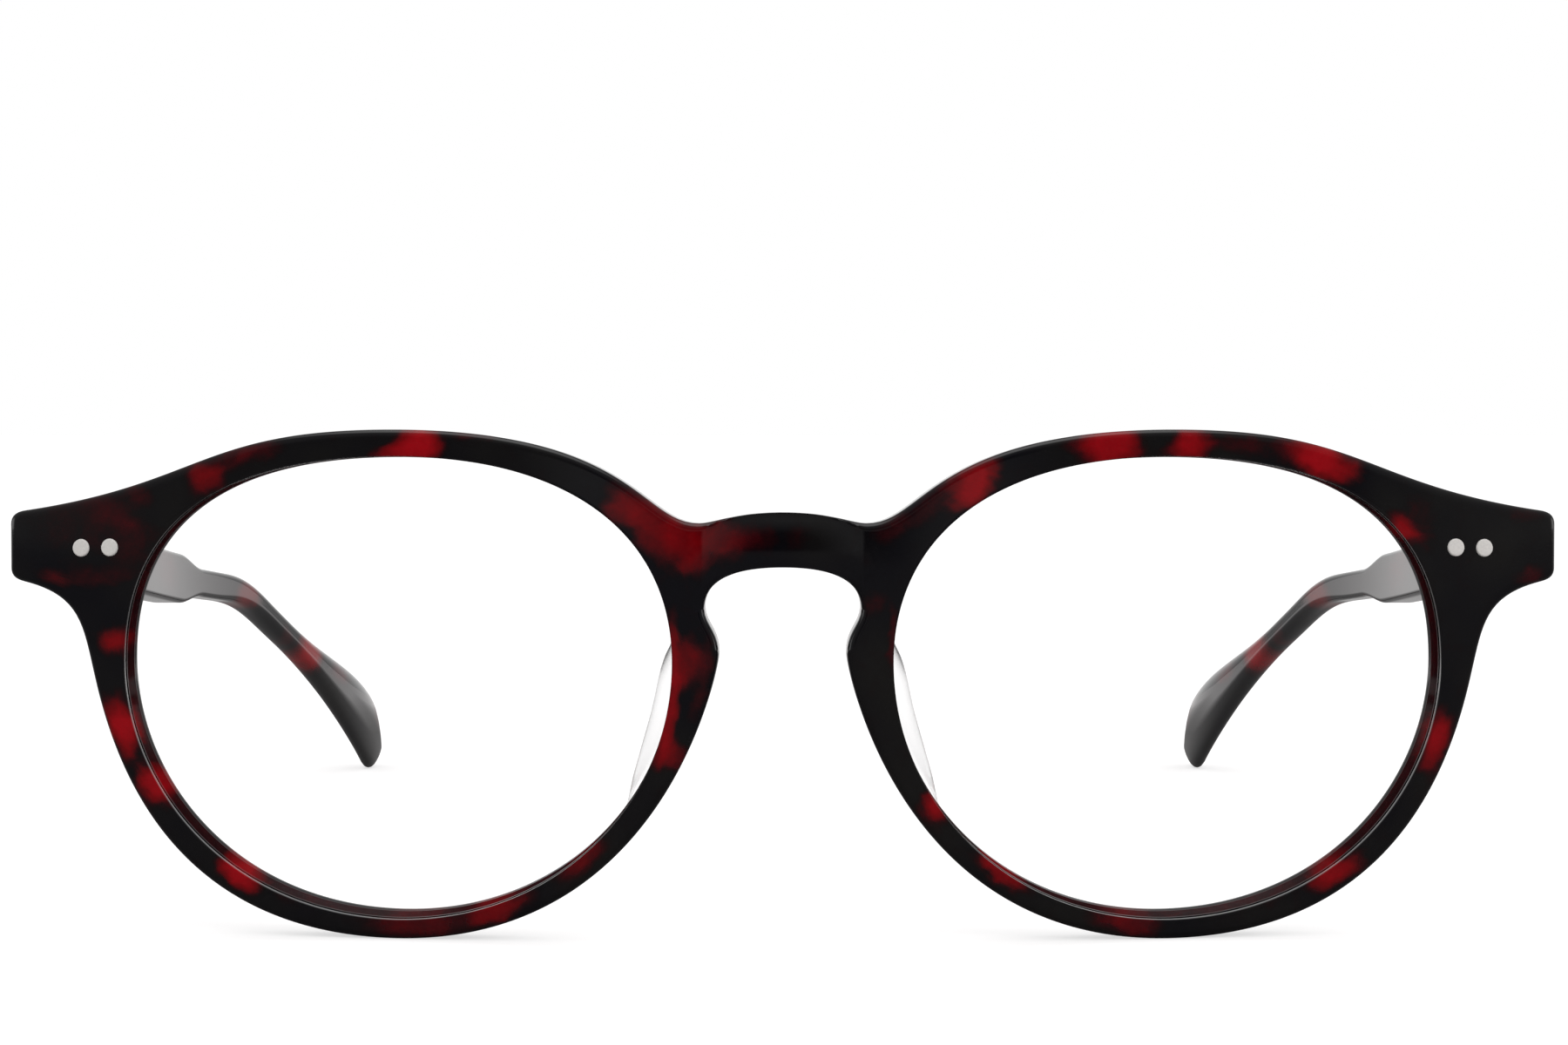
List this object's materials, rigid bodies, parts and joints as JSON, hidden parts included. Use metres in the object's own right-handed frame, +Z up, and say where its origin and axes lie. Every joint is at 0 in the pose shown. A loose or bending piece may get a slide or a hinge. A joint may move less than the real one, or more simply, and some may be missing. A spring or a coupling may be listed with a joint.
{
  "type": "eyeglasses",
  "caption": "Round-lens acetate eyeglasses with a keyhole bridge and temples that fold on riveted barrel hinges.",
  "frame": {"origin": "on the table, under the middle of the open eyeglasses' footprint", "axes": "+X to the wearer's left, +Y back along the open temples, +Z up with the rims and temple tips on the table"},
  "size_m": [0.1386, 0.1502, 0.045],
  "materials": {
    "tortoise_acetate": "polished, black and deep red mottle",
    "clear_lens": "clear, polished",
    "clear_acetate": "clear, polished",
    "hinge_steel": "satin",
    "polished_metal": "soft polish"
  },
  "bodies": {
    "front": {"front_frame": "tortoise_acetate", "lens_left": "clear_lens", "nose_pad_left": "clear_acetate", "front_hinge_left": "hinge_steel", "hinge_screw_left": "polished_metal", "front_rivet_left_1": "polished_metal", "front_rivet_left_2": "polished_metal", "lens_right": "clear_lens", "nose_pad_right": "clear_acetate", "front_hinge_right": "hinge_steel", "hinge_screw_right": "polished_metal", "front_rivet_right_1": "polished_metal", "front_rivet_right_2": "polished_metal"},
    "temple_left": {"temple_hinge_left": "hinge_steel", "temple_left": "tortoise_acetate", "temple_core_left": "hinge_steel", "temple_rivet_left_1": "polished_metal", "temple_rivet_left_2": "polished_metal"},
    "temple_right": {"temple_hinge_right": "hinge_steel", "temple_right": "tortoise_acetate", "temple_core_right": "hinge_steel", "temple_rivet_right_1": "polished_metal", "temple_rivet_right_2": "polished_metal"}
  },
  "joints": [
    {"name": "temple_fold_left", "type": "hinge", "parent": "front", "child": "temple_left", "pos_m": [0.0646, -0.06211, 0.03469], "axis": [0, 0.1052, 0.9945], "range_deg": [0, 84]},
    {"name": "temple_fold_right", "type": "hinge", "parent": "front", "child": "temple_right", "pos_m": [-0.0646, -0.06211, 0.03469], "axis": [0, -0.1052, -0.9945], "range_deg": [0, 72]}
  ]
}
